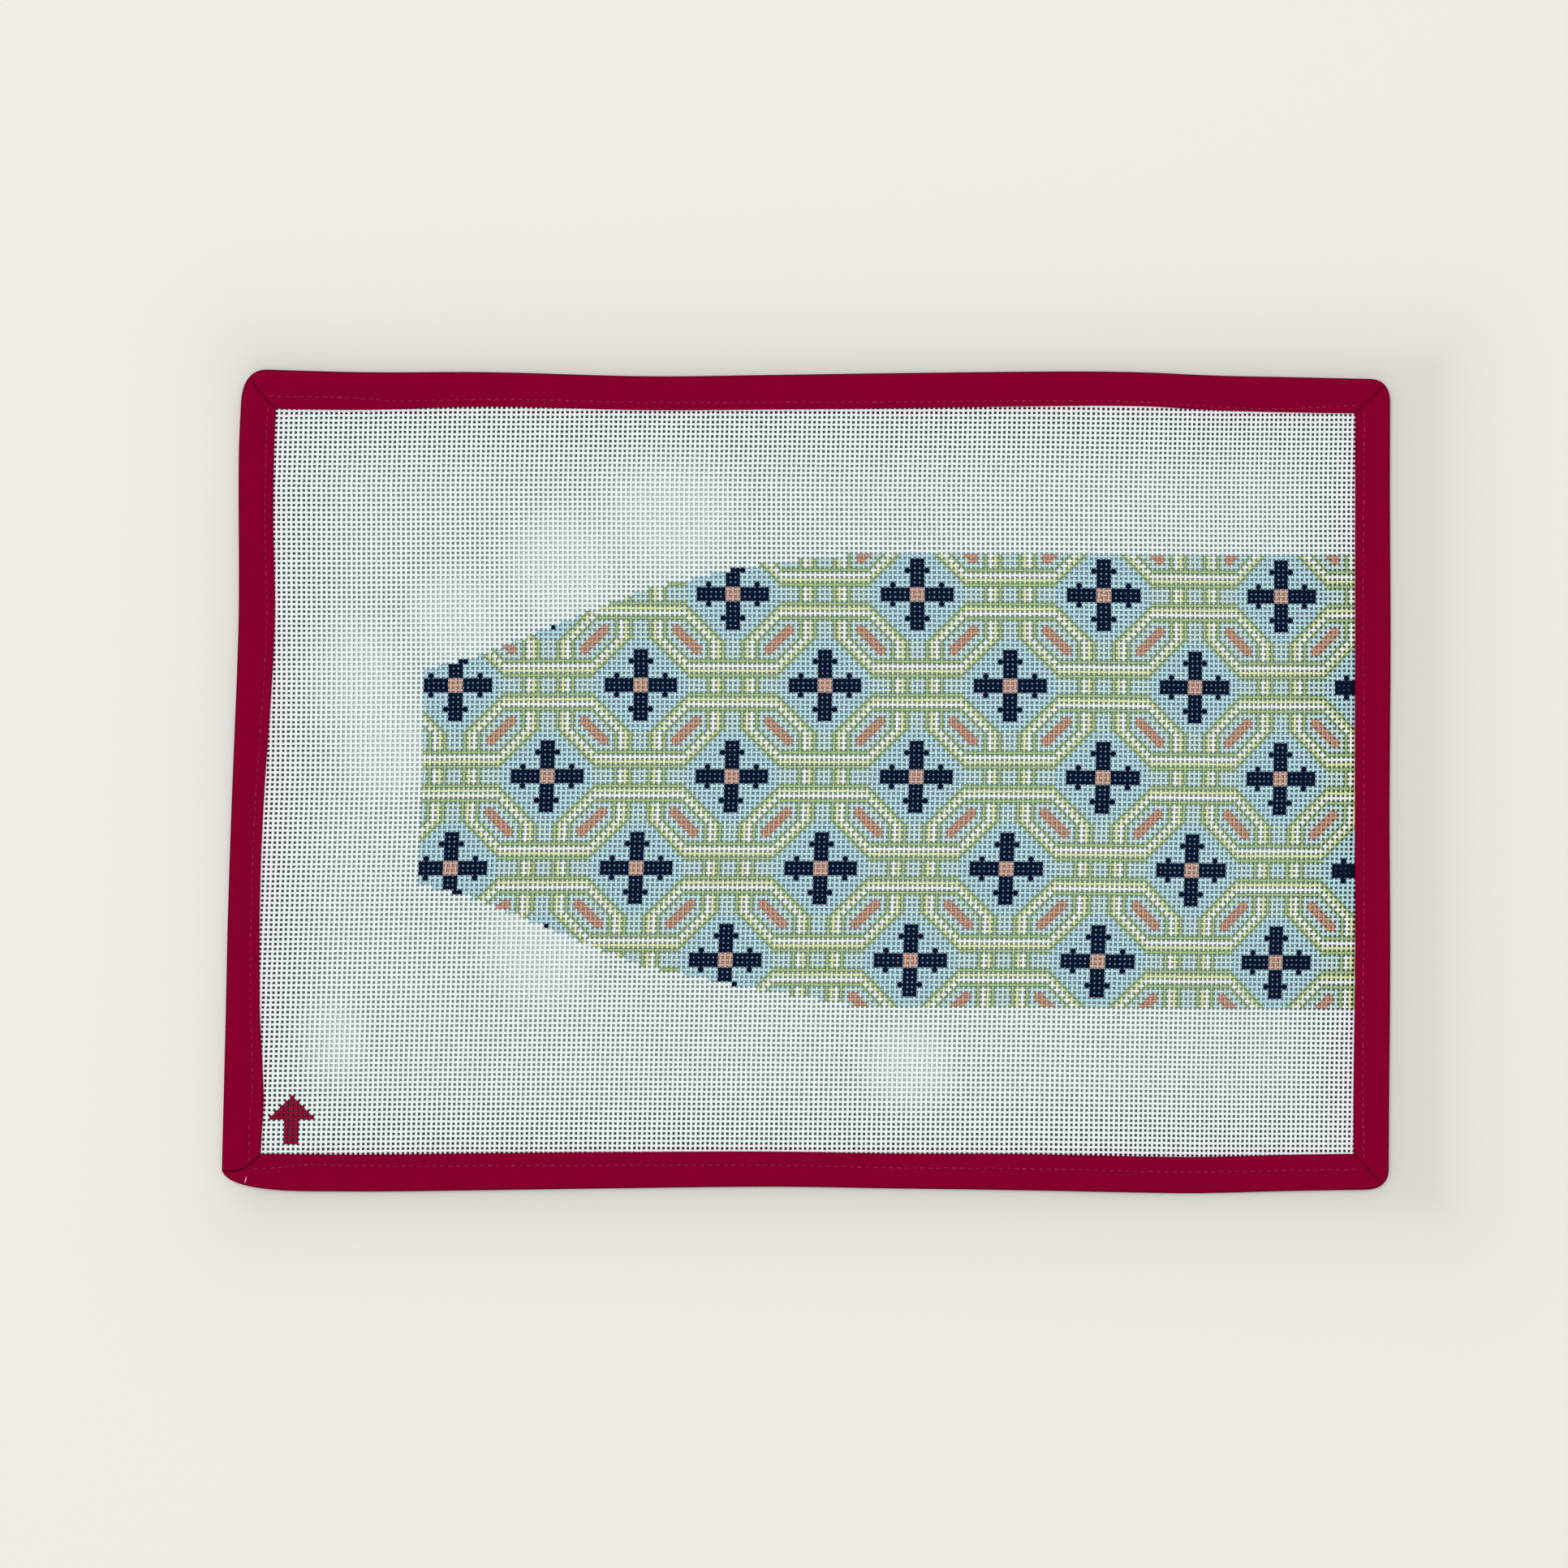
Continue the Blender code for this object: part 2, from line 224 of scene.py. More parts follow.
# One material's nodes
class Finish:
    def __init__(self, name, roughness, gloss=0.2):
        self.material = bpy.data.materials.new(name)
        self.material.use_nodes = True
        self.nodes = self.material.node_tree.nodes
        self.links = self.material.node_tree.links
        self.shader = self.nodes["Principled BSDF"]
        self.shader.inputs["Roughness"].default_value = roughness
        self.shader.inputs["Specular IOR Level"].default_value = gloss

    # Any node: its settings first, then the values or wires of its inputs. Gives its outputs in order.
    def node(self, kind, settings, inputs):
        node = self.nodes.new(kind)
        for name, setting in settings.items():
            setattr(node, name, setting)
        for name, given in inputs.items():
            if isinstance(given, Wire):
                self.links.new(given.socket, node.inputs[name])
            else:
                node.inputs[name].default_value = given
        return [Wire(self, socket) for socket in node.outputs]

    def mixed(self, share, first, second, blend="MIX"):
        settings = {"data_type": "RGBA", "blend_type": blend}
        return self.node("ShaderNodeMix", settings, {0: share, 6: first, 7: second})[2]

    def noise(self, vector, scale, detail=2.0):
        return self.node("ShaderNodeTexNoise", {}, {"Vector": vector, "Scale": scale, "Detail": detail})[0]

    def stretched(self, vector, scale):
        return self.node("ShaderNodeVectorMath", {"operation": "MULTIPLY"}, {0: vector, 1: scale})[0]

    def objectPlace(self):
        return self.node("ShaderNodeTexCoord", {}, {})[3]

    def uvPlace(self, name):
        vector = self.node("ShaderNodeUVMap", {"uv_map": name}, {})[0]
        return self.node("ShaderNodeSeparateXYZ", {}, {0: vector})[:2]

    # How squarely a surface faces up: 0 at the low angle and under, 1 at the high angle and over
    def facingUp(self, low, high):
        normal = self.node("ShaderNodeNewGeometry", {}, {})[1]
        _, _, up = self.node("ShaderNodeSeparateXYZ", {}, {0: normal})
        return self.node("ShaderNodeMapRange", {}, {0: up, 1: low, 2: high, 3: 0.0, 4: 1.0})[0]

    def bump(self, height, depth, strength):
        inputs = {"Strength": strength, "Distance": depth, "Height": height}
        return self.node("ShaderNodeBump", {}, inputs)[0]

    def feed(self, **wires):
        for name, wire in wires.items():
            self.links.new(wire.socket, self.shader.inputs[name.replace("_", " ")])
        return self.material


# The bindings' outer and inner lines, read from their solids

# axis: the one along the strip, 0 for X and 1 for Y. outward: which way its fold faces on the other axis.
strips = {
    "binding_upper": {"axis": 0, "outward": 1},
    "binding_lower": {"axis": 0, "outward": -1},
    "binding_left": {"axis": 1, "outward": -1},
    "binding_right": {"axis": 1, "outward": 1},
}


# How the points of the two lines are told from others: by how squarely their faces turn away from the
# canvas, and by their distance from the other line, as a share of the usual one
edgeTest = {"outerFacing": 0.3, "innerFacing": -0.9, "leastApart": 0.8}


# The line along the outside of a strip's fold, and the line along the free edge of its top
def edgeLines(nodeName, axis, outward):
    solid = bmesh.new()
    solid.from_mesh(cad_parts[nodeName].data)
    bmesh.ops.remove_doubles(solid, verts=solid.verts, dist=tiny)
    top = max(vert.co.z for vert in solid.verts)
    outer, inner = {}, {}
    for face in solid.faces:
        facing = face.normal[1 - axis] * outward
        for vert in face.verts:
            spot = vert.co.xy.copy()
            if facing > edgeTest["outerFacing"] and abs(vert.co.z - top / 2) < tiny:
                outer[vert.index] = spot
            if facing < edgeTest["innerFacing"] and abs(vert.co.z - top) < tiny:
                inner[vert.index] = spot
    solid.free()
    outer = np.array(sorted(outer.values(), key=lambda point: point[axis]))
    inner = np.array(sorted(inner.values(), key=lambda point: point[axis]))
    beside = np.interp(inner[:, axis], outer[:, axis], outer[:, 1 - axis])
    apart = np.abs(inner[:, 1 - axis] - beside)
    return outer, inner[apart > edgeTest["leastApart"] * np.median(apart)]


for nodeName, strip in strips.items():
    strip["outer"], strip["inner"] = edgeLines(nodeName, strip["axis"], strip["outward"])
print("edge lines read:", {name: len(strip["outer"]) for name, strip in strips.items()})


# How far places lie inside the inner line of a strip's tape
def insideOf(stripName, x, y):
    strip = strips[stripName]
    along, across = (x, y) if strip["axis"] == 0 else (y, x)
    line = strip["inner"]
    edge = np.interp(along, line[:, strip["axis"]], line[:, 1 - strip["axis"]])
    return strip["outward"] * (edge - across)


# The canvas: where its threads lie

# Thread columns are counted from the middle of a painted cross, and rows from the row of crosses that
# runs along the middle, downward. The tables hold the uneven spacing of the cloth, in millimetres.
columnPlace = {
    "column": [-44, -20, 0, 30, 60, 90, 120, 140, 155, 170, 190],
    "across": [-167.0, -132.0, -103.0, -60.1, -17.5, 25.1, 68.1, 97.1, 117.8, 137.5, 164.7],
}
columnLean = {
    "row": [-84, -60, -20, 0, 20, 40, 60, 84],
    "across": [1.5, 0.3, 0.4, 0.0, -1.2, -2.3, -3.3, -4.3],
    "lossPerColumn": 0.0021,
}
rowPlace = {
    "row": [-84, -60, -40, -20, 0, 20, 40, 60, 84],
    "up": [120.0, 86.1, 57.7, 29.6, 1.5, -26.8, -55.1, -83.7, -118.1],
}
rowLean = {
    "column": [-44, -20, 0, 30, 60, 90, 120, 140, 155, 190],
    "up": [-0.4, -0.3, -0.1, 0.0, -0.1, -0.2, -0.3, -0.6, -0.8, -0.9],
}
weave = {
    "columns": (-45, 196),
    "splitColumn": 74,
    "rows": (-86, 86),
    "splitRow": 0,
    "threadWidth": 0.60,  # share of the spacing
    "topWidth": 0.66,  # share of the thread's width that its flat top takes
    "threadHeight": 0.54 * mm,
    "crimp": 0.27 * mm,  # how far a thread rises and falls where it crosses another
    "uneven": 0.10,  # share by which the width varies
    "wander": 0.035,  # how far a thread strays aside at a crossing, in threads
    "paintFill": 1.10,  # how much wider paint makes a thread
    "edgeInset": 3.0 * mm,  # of the cut edge of the cloth, from the outside of the tape
}
sag = {"rise": 1.1 * mm, "start": 1.5 * mm, "end": 24.0 * mm}

# The mean spacing of the columns and of the rows, in millimetres
threadSpacing = [
    abs((table[way][-1] - table[way][0]) / (table[count][-1] - table[count][0]))
    for table, count, way in ((columnPlace, "column", "across"), (rowPlace, "row", "up"))
]


# Where a crossing lies in plan, also between whole counts
def threadPlace(column, row):
    lean = np.interp(row, columnLean["row"], columnLean["across"])
    x = np.interp(column, columnPlace["column"], columnPlace["across"])
    x = x + lean * (1 - columnLean["lossPerColumn"] * column)
    y = np.interp(row, rowPlace["row"], rowPlace["up"])
    y = y + np.interp(column, rowLean["column"], rowLean["up"])
    return x * mm, y * mm


# The canvas is held up by the tape at its edges and sinks to the surface inside them
def clothHeight(x, y):
    sunk = 1.0
    for pair in (("binding_left", "binding_right"), ("binding_lower", "binding_upper")):
        inward = np.minimum(insideOf(pair[0], x, y), insideOf(pair[1], x, y))
        sunk = sunk * eased((inward - sag["start"]) / (sag["end"] - sag["start"]))
    return sag["rise"] * (1 - sunk)


# The painted chart. It works on numbers and on wires alike, so the meshes and the shader share it.

chart = {
    "repeat": 38,
    "firstCross": 19,
    "leftColumn": -6.5,
    "topEdge": {"column": [-7, 3, 40, 60, 84], "row": [-22.2, -24.6, -39.2, -43.7, -46.6]},
    "bottomEdge": {"column": [-7, 3, 40, 60, 86], "row": [22.3, 24.6, 39.4, 43.4, 47.5]},
}


def within(value, low, high):
    return 1.0 * (value > low - 0.5) * (1.0 * (value < high + 0.5))


def either(first, second):
    return first + second - first * second


# A value held between 0 and 1
def held(value):
    value = value * (1.0 * (value > 0))
    over = value - 1.0
    return value - over * (1.0 * (over > 0))


# The row where the painted band ends at a column: nearly level over most of its length, and drawn in
# towards its left end
def bandEdge(column, edge):
    columns, rows = edge["column"], edge["row"]
    row = rows[0]
    for i in range(len(columns) - 1):
        row = held((column - columns[i]) / (columns[i + 1] - columns[i])) * (rows[i + 1] - rows[i]) + row
    return row


def insideBand(column, row):
    inside = 1.0 * (column > chart["leftColumn"])
    inside = inside * (1.0 * (row - bandEdge(column, chart["topEdge"]) > 0))
    return inside * (1.0 * (row - bandEdge(column, chart["bottomEdge"]) < 0))


# Strapwork of eight-sided frames that pass through each other, with a cross in each. The numbers are counts
# of threads from the middle of the nearest cross: a to either side, b up or down, and total for both.
def chartMasks(column, row):
    half = chart["repeat"] / 2
    a = abs((column - chart["firstCross"] + half) % chart["repeat"] - half)
    b = abs((row + half) % chart["repeat"] - half)
    far = 1.0 * (a + b > half + 0.5)
    a = a + far * (half - 2 * a)
    b = b + far * (half - 2 * b)
    total = a + b

    pink = within(a, 0, 1) * within(b, 0, 1)
    arms = either(within(a, 0, 1) * within(b, 2, 7), within(b, 0, 1) * within(a, 2, 7))
    tips = either(within(a, 4.8, 5.2) * within(b, 2, 2.2), within(a, 2, 2.2) * within(b, 4.8, 5.2))
    navy = either(arms, tips)

    level = within(b, 2, 5) * within(a, 10, 19)
    levelFar = within(b, 14, 17) * within(a, 0, 9)
    upright = within(a, 2, 5) * within(b, 10, 19)
    uprightFar = within(a, 14, 17) * within(b, 0, 9)
    slanted = within(total, 12, 15) * within(a, 0, 9) * within(b, 0, 9)
    isLevel = either(level, levelFar)
    isUpright = either(upright, uprightFar) * (1.0 - isLevel)
    strap = either(either(isLevel, isUpright), slanted)
    across = level * (b - 2) + levelFar * (17 - b)
    across = across + (1.0 - isLevel) * (upright * (a - 2) + uprightFar * (17 - a))
    across = across + slanted * (total - 12)
    lozenge = within(total, 18, 20) * within(a, 7, 12) * within(b, 7, 12) * (1.0 - strap)
    return {
        "deepBlue": within(total, 0, 11) * within(a, 0, 9) * within(b, 0, 9),
        "salmon": lozenge,
        "sage": strap,
        "yellow": strap * within(across, 1, 1),
        "white": strap * within(across, 2, 2),
        "navy": navy,
        "pink": pink,
    }


# A small plain arrow that marks the top, by the lower left corner
arrow = {"column": -30, "tipRow": 66, "headRows": 5, "shaftRows": 5, "shaftHalf": 1}


def arrowMask(column, row):
    aside = abs(column - arrow["column"])
    down = row - arrow["tipRow"]
    head = within(down, 0, arrow["headRows"] - 1) * (1.0 * (aside < down + 0.5))
    shaft = within(down, arrow["headRows"], arrow["headRows"] + arrow["shaftRows"] - 1)
    return either(head, shaft * within(aside, 0, arrow["shaftHalf"]))


# Floor and soft studio light. Besides its plain colour, the floor has a soft shadow painted around the
# panel, which stands for the shade that the panel throws, and painted shades that are seen through the
# holes of the canvas.

studio = {
    "floorSize": 12.0,
    "floorColour": paint(239, 236, 229),
    "floorRoughness": 0.9,
    "skyColour": (1.0, 1.0, 1.0, 1.0),
    "skyStrength": 0.51,
    "lampPlace": (-0.6, 0.5, 4.2),
    "lampSize": 2.8,
    "lampPower": 104.0,
    # A soft shadow painted on the floor around the panel
    "shadeDepth": 0.17,
    "shadeReach": 15 * mm,
    "shadeAside": 12 * mm,  # how far it is shifted to the right
    "shadeColour": (0.0, 0.0, 0.0, 1.0),
    "underFrom": 9.5 * mm,  # from the edge of the panel inward, where the painted shade under the tape gives way
    "underTo": 27 * mm,
    # Shades painted on the floor under the canvas, seen through its holes: dark under the tape, lighter in
    # the middle, paler at the painted pale spots, and bluer under the painted band
    "paintedShadeUnderTape": paint(92, 96, 102),
    "paintedShadeUnderCanvas": paint(146, 158, 156),
    "paintedLightUnderCanvas": paint(226, 234, 233),
    "paintedShadeUnderBand": paint(158, 186, 206),
    "rowShift": 1.0,  # how far the middle row of crosses lies above the middle of the panel, in rows
}


# Painted light: spots where the floor under the canvas is painted paler, for less shade where the canvas
# lies closest to the floor, so that its holes look pale, in millimetres
paintedPaleCore = 0.3  # share of the reach within which it is palest
paintedPaleSpots = [
    {"x": -40, "y": 79, "reach": 28},
    {"x": -72, "y": 63, "reach": 24},
    {"x": -103, "y": 48, "reach": 20},
    {"x": -134, "y": 31, "reach": 24},
    {"x": -122, "y": 10, "reach": 20},
    {"x": -78, "y": -48, "reach": 24},
    {"x": -141, "y": -76, "reach": 16},
    {"x": 30, "y": -85, "reach": 18},
]


# How strongly a place of the floor is painted paler, from 0 to 1
def paintedPaleShare(finish, place):
    share = 0.0
    for spot in paintedPaleSpots:
        middle = (spot["x"] * mm, spot["y"] * mm, 0.0)
        distance = finish.node("ShaderNodeVectorMath", {"operation": "DISTANCE"}, {0: place, 1: middle})[1]
        limits = {0: distance, 1: paintedPaleCore * spot["reach"] * mm, 2: spot["reach"] * mm, 3: 1.0, 4: 0.0}
        near = finish.node("ShaderNodeMapRange", {"interpolation_type": "SMOOTHSTEP"}, limits)[0]
        share = either(near, share)
    return share


# How far a place lies outside the sides of the panel's box
def outsideBox(x, y):
    low, high = cadBox
    return [abs(spot - (a + b) / 2) - (b - a) / 2 for spot, a, b in zip((x, y), low, high)]


# The floor is plain outside the panel, with a painted soft shadow around it, and has painted shades where
# it shows through the holes of the canvas
def makeFloorFinish():
    finish = Finish("pale floor", studio["floorRoughness"])
    place = finish.objectPlace()
    x, y, _ = finish.node("ShaderNodeSeparateXYZ", {}, {0: place})
    # Painted shadow: the floor darkens towards the panel, shifted to the right
    outX, outY = [out * (out > 0) for out in outsideBox(x - studio["shadeAside"], y)]
    away = (outX * outX + outY * outY) ** 0.5
    shade = away.maths("EXPONENT", away / -studio["shadeReach"])
    outside = finish.mixed(shade * studio["shadeDepth"], studio["floorColour"], studio["shadeColour"])

    # Painted shade under the panel: darkest by the tape, paler at the painted pale spots, bluer under the
    # band
    outX, outY = outsideBox(x, y)
    inward = outX.maths("MAXIMUM", outX, outY) * -1.0
    isUnder = 1.0 * (inward > studio["underFrom"])
    depth = {0: inward, 1: studio["underFrom"], 2: studio["underTo"], 3: 0.0, 4: 1.0}
    inner = finish.node("ShaderNodeMapRange", {}, depth)[0]
    under = finish.mixed(paintedPaleShare(finish, place), studio["paintedShadeUnderCanvas"], studio["paintedLightUnderCanvas"])
    under = finish.mixed(inner, studio["paintedShadeUnderTape"], under)
    start = columnPlace["across"][columnPlace["column"].index(0)]
    column = (x / mm - start) / threadSpacing[0]
    row = y / mm / -threadSpacing[1] + studio["rowShift"]
    under = finish.mixed(insideBand(column, row), under, studio["paintedShadeUnderBand"])
    return finish.feed(Base_Color=finish.mixed(isUnder, outside, under))


def makeStudio():
    bpy.ops.mesh.primitive_plane_add(size=studio["floorSize"], location=(0, 0, 0))
    floor = bpy.context.object
    floor.name = "floor"
    floor.data.materials.append(makeFloorFinish())

    world = bpy.data.worlds.new("studio")
    world.use_nodes = True
    sky = world.node_tree.nodes["Background"]
    sky.inputs["Color"].default_value = studio["skyColour"]
    sky.inputs["Strength"].default_value = studio["skyStrength"]
    bpy.context.scene.world = world

    bpy.ops.object.light_add(type="AREA", location=studio["lampPlace"])
    lamp = bpy.context.object
    lamp.data.size = studio["lampSize"]
    lamp.data.energy = studio["lampPower"]
    lamp.rotation_euler = (-Vector(studio["lampPlace"])).to_track_quat("-Z", "Y").to_euler()


makeStudio()
print("studio ready")


# The finish of painted canvas threads

palette = {
    "canvas": paint(243, 254, 252),
    "paintedBounceTint": paint(248, 248, 253),
    "paleBlue": paint(204, 233, 230),
    "deepBlue": paint(192, 229, 236),
    "salmon": paint(210, 165, 140),
    "sage": paint(171, 199, 148),
    "yellow": paint(230, 238, 190),
    "white": paint(247, 254, 247),
    "navy": paint(0, 20, 52),
    "pink": paint(214, 176, 158),
    "arrow": paint(150, 10, 52),
    "patches": paint(250, 250, 250),
}

canvasFinish = {
    "roughness": 0.85,
    "gloss": 0.08,
    "sideShade": {"bare": 0.68, "painted": 0.12},  # painted shade: how dark the sides of the threads are painted, by the holes
    "facing": (0.5, 0.85),  # how squarely the threads face up where their sides end and their tops begin
    "paintFree": 0.75,  # how freely paint crosses from thread to thread: 0 keeps to whole crossings
    "paintRagged": 0.25,  # how far its edges stray, in threads
    "raggedScale": 900.0,
    "patchScale": 160.0,
    "patchShare": 0.25,
    "patchShade": 0.06,
    "fibreShade": 0.10,
    "ground": 0.92,  # the shade between the fibres
    "fibresAlong": 1200.0,
    "fibresAcross": 9000.0,
    "fibreDepth": 0.05 * mm,
    "fibreStrength": 0.6,
    "edgeColumns": (-37, 187),  # where the canvas goes under the tape, in counts of threads
    "edgeRows": (-77, 79),
    "bounceTintReach": 5.0,  # how far in from there the painted tint of light thrown back by the tape goes
}


# The least distance inside the edges of the canvas, in threads
def insideEdges(across, along):
    left, right = canvasFinish["edgeColumns"]
    upper, lower = canvasFinish["edgeRows"]
    fromSides = across.maths("MINIMUM", across - left, right - across)
    fromEnds = along.maths("MINIMUM", along - upper, lower - along)
    return fromSides.maths("MINIMUM", fromSides, fromEnds)


def paintedCanvas(name, fibreStretch):
    finish = Finish(name, canvasFinish["roughness"], canvasFinish["gloss"])
    place = finish.objectPlace()
    across, along = finish.uvPlace("threads")
    ragged = (finish.noise(place, canvasFinish["raggedScale"]) - 0.5) * canvasFinish["paintRagged"]
    spotX = across + ragged
    spotY = along + ragged
    column = spotX + 0.5 - (spotX + 0.5) % 1
    row = spotY + 0.5 - (spotY + 0.5) % 1

    # Painted light: near the tape the canvas takes a paler, lavender tint, for the light that the crimson
    # tape throws back on it
    reach = {0: insideEdges(across, along), 1: 0.0, 2: canvasFinish["bounceTintReach"], 3: 1.0, 4: 0.0}
    edge = finish.node("ShaderNodeMapRange", {}, reach)[0]
    colour = finish.mixed(edge, palette["canvas"], palette["paintedBounceTint"])

    band = insideBand(column, row)
    colour = finish.mixed(band, colour, palette["paleBlue"])
    free = canvasFinish["paintFree"]
    masks = chartMasks(spotX * free + column * (1 - free), spotY * free + row * (1 - free))
    for paintName, mask in masks.items():
        colour = finish.mixed(mask * band, colour, palette[paintName])
    colour = finish.mixed(arrowMask(column, row), colour, palette["arrow"])

    patchy = finish.noise(place, canvasFinish["patchScale"], 3.0)
    share = band * canvasFinish["patchShare"] * patchy
    colour = finish.mixed(share, colour, palette["patches"], "MULTIPLY")
    fibres = finish.noise(finish.stretched(place, fibreStretch), 1.0, 2.0)
    # Painted shade: the sides of the threads by the holes are painted darker than their tops, much more so
    # in the painted band; the fibres and patches vary the tone
    top = finish.facingUp(*canvasFinish["facing"])
    bare, painted = canvasFinish["sideShade"].values()
    side = bare + band * (painted - bare)
    shading = fibres * canvasFinish["fibreShade"] + patchy * canvasFinish["patchShade"]
    shading = (shading + canvasFinish["ground"]) * (top + (1.0 - top) * side)
    grey = finish.node("ShaderNodeCombineXYZ", {}, {0: shading, 1: shading, 2: shading})[0]
    colour = finish.mixed(1.0, colour, grey, "MULTIPLY")
    normal = finish.bump(fibres, canvasFinish["fibreDepth"], canvasFinish["fibreStrength"])
    return finish.feed(Base_Color=colour, Normal=normal)


fibresAlong, fibresAcross = canvasFinish["fibresAlong"], canvasFinish["fibresAcross"]
uprightThread = paintedCanvas("painted upright threads", (fibresAcross, fibresAlong, fibresAcross))
levelThread = paintedCanvas("painted level threads", (fibresAlong, fibresAcross, fibresAcross))
print("canvas finish ready")


# The canvas: its threads as meshes

# The outline of the panel, as one closed line of points
def panelOutline():
    ways = {"binding_upper": 1, "binding_right": -1, "binding_lower": -1, "binding_left": 1}
    return np.concatenate([strips[name]["outer"][::way] for name, way in ways.items()])


# Which crossings lie on the cloth: inside the outline by at least the inset
def onCloth(columns, rows):
    x, y = threadPlace(columns, rows)
    keep = np.ones(x.shape, bool)
    outline = panelOutline()
    ends = np.roll(outline, -1, axis=0)
    for (x0, y0), (x1, y1) in zip(outline, ends):
        length = np.hypot(x1 - x0, y1 - y0)
        if length < tiny:
            continue
        share = np.clip(((x - x0) * (x1 - x0) + (y - y0) * (y1 - y0)) / length**2, 0, 1)
        away = np.hypot(x - x0 - share * (x1 - x0), y - y0 - share * (y1 - y0))
        keep &= away > weave["edgeInset"]
    lowest, highest = outline.min(0), outline.max(0)
    keep &= (x > lowest[0]) & (x < highest[0]) & (y > lowest[1]) & (y < highest[1])
    return keep


chance = np.random.default_rng(18)  # one start for all the unevenness of the threads
crossings = tuple(last - first + 1 for first, last in (weave["columns"], weave["rows"]))
unevenness = {
    name: {"width": chance.uniform(-1, 1, crossings), "aside": chance.uniform(-1, 1, crossings)}
    for name in ("upright", "level")
}
columnGrid, rowGrid = np.meshgrid(
    np.arange(weave["columns"][0], weave["columns"][1] + 1),
    np.arange(weave["rows"][0], weave["rows"][1] + 1),
    indexing="ij",
)
clothMask = onCloth(columnGrid, rowGrid)
paintMask = insideBand(columnGrid * 1.0, rowGrid * 1.0) > 0.5
print("canvas crossings:", int(clothMask.sum()))


ringHalf = 0.25  # half the width of a thread's rings before they are moved to their places


# A row of like threads, side by side. In its own counts a thread runs along X or Y with a ring of four
# points at each crossing, and then every ring is moved to its place.
def makeThreads(name, columns, rows, upright, material):
    firstColumn, lastColumn = columns
    firstRow, lastRow = rows
    turn = (pi / 2, pi / 4, 0) if upright else (pi / 2, pi / 4, pi / 2)
    start = (firstColumn, -firstRow - 0.5, 0) if upright else (firstColumn + 0.5, -firstRow, 0)
    radius = ringHalf * 2**0.5
    bpy.ops.mesh.primitive_cylinder_add(
        vertices=4, radius=radius, depth=1, end_fill_type="NOTHING", location=start, rotation=turn
    )
    threads = bpy.context.object
    threads.name = threads.data.name = name
    bpy.ops.object.transform_apply(location=True, rotation=True, scale=True)
    right, down = (1, 0, 0), (0, -1, 0)
    acrossCount, downCount = lastColumn - firstColumn, lastRow - firstRow
    if upright:
        repeats = {"along": (down, downCount), "beside": (right, acrossCount + 1)}
    else:
        repeats = {"along": (right, acrossCount), "beside": (down, downCount + 1)}
    for way, (step, count) in repeats.items():
        repeat = threads.modifiers.new(way, "ARRAY")
        repeat.use_relative_offset = False
        repeat.use_constant_offset = True
        repeat.constant_offset_displace = step
        repeat.count = count
        repeat.use_merge_vertices = way == "along"
        repeat.merge_threshold = 0.0001
    applyModifiers(threads)

    points = readPoints(threads)
    column, row = np.rint(points[:, 0]).astype(int), np.rint(-points[:, 1]).astype(int)
    kept = clothMask[column - weave["columns"][0], row - weave["rows"][0]]
    pick(threads)
    bpy.ops.object.mode_set(mode="EDIT")
    bpy.ops.mesh.select_all(action="DESELECT")
    bpy.ops.object.mode_set(mode="OBJECT")
    threads.data.vertices.foreach_set("select", ~kept)
    bpy.ops.object.mode_set(mode="EDIT")
    bpy.ops.mesh.delete(type="VERT")
    bpy.ops.mesh.select_all(action="SELECT")
    bpy.ops.mesh.fill_holes(sides=4)
    bpy.ops.object.mode_set(mode="OBJECT")
    settleThreads(threads, upright)
    threads.data.materials.clear()
    threads.data.materials.append(material)
    threads.data.shade_smooth()
    return threads


# Move every ring to its crossing, give it its width and height, and let it rise and fall over the others
def settleThreads(threads, upright):
    points = readPoints(threads)
    column, row = np.rint(points[:, 0]), np.rint(-points[:, 1])
    aside = points[:, 0] - column if upright else points[:, 1] + row
    lift = points[:, 2] / ringHalf
    aside = aside * np.where(lift > 0, weave["topWidth"], 1.0)
    spot = (column.astype(int) - weave["columns"][0], row.astype(int) - weave["rows"][0])
    chanceFor = unevenness["upright" if upright else "level"]
    width = weave["threadWidth"] * (1 + weave["uneven"] * chanceFor["width"][spot])
    width = width * np.where(paintMask[spot], weave["paintFill"], 1.0)
    aside = aside / ringHalf * width / 2 + weave["wander"] * chanceFor["aside"][spot]
    exactColumn = column + aside if upright else column
    exactRow = row if upright else row - aside
    x, y = threadPlace(exactColumn, exactRow)
    over = 1 - 2 * ((column + row) % 2)
    over = over if upright else -over
    middle = weave["crimp"] + weave["threadHeight"] / 2
    z = clothHeight(x, y) + middle + over * weave["crimp"] + lift * weave["threadHeight"] / 2
    writePoints(threads, np.stack([x, y, z], 1))
    addUvMap(threads, "threads", np.stack([exactColumn, exactRow], 1))
    addTopMap(threads)


# The flat size and the area of the cloth that a set of threads covers
def clothSize(columns, rows):
    inside = (columnGrid >= columns[0]) & (columnGrid <= columns[1]) & clothMask
    inside &= (rowGrid >= rows[0]) & (rowGrid <= rows[1])
    x, y = threadPlace(columnGrid[inside], rowGrid[inside])
    area = inside.sum() * threadSpacing[0] * threadSpacing[1] * mm * mm
    return (float(x.max() - x.min()), float(y.max() - y.min())), float(area)


